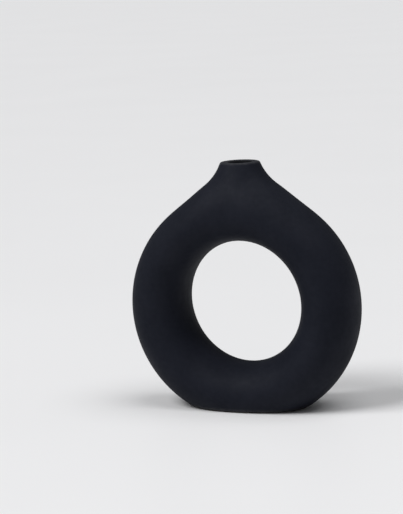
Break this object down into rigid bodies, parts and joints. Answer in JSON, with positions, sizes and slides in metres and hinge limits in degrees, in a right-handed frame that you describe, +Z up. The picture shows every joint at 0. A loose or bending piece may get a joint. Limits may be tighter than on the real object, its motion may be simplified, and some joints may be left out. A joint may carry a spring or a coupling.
{
  "type": "donut vase",
  "caption": "Hollow ring-shaped ceramic vase with a round hole through its middle, a short flared neck with a round mouth, and a flat foot on soft pads.",
  "frame": {"origin": "on the surface the vase stands on, under the middle of its foot", "axes": "+Z up along the neck, X across the ring's width, front face towards -Y"},
  "size_m": [0.2, 0.067, 0.208],
  "materials": {
    "matte_glaze": "matte",
    "lining_glaze": "gloss",
    "pad": "matte"
  },
  "bodies": {
    "root": {"front_shell": "matte_glaze", "rear_shell": "matte_glaze", "neck_collar": "matte_glaze", "neck_slip_seam": "matte_glaze", "outer_slip_seam": "matte_glaze", "inner_slip_seam": "matte_glaze", "glaze_lining": "lining_glaze", "foot_pad_front_left": "pad", "foot_pad_front_right": "pad", "foot_pad_rear_left": "pad", "foot_pad_rear_right": "pad"}
  },
  "joints": []
}
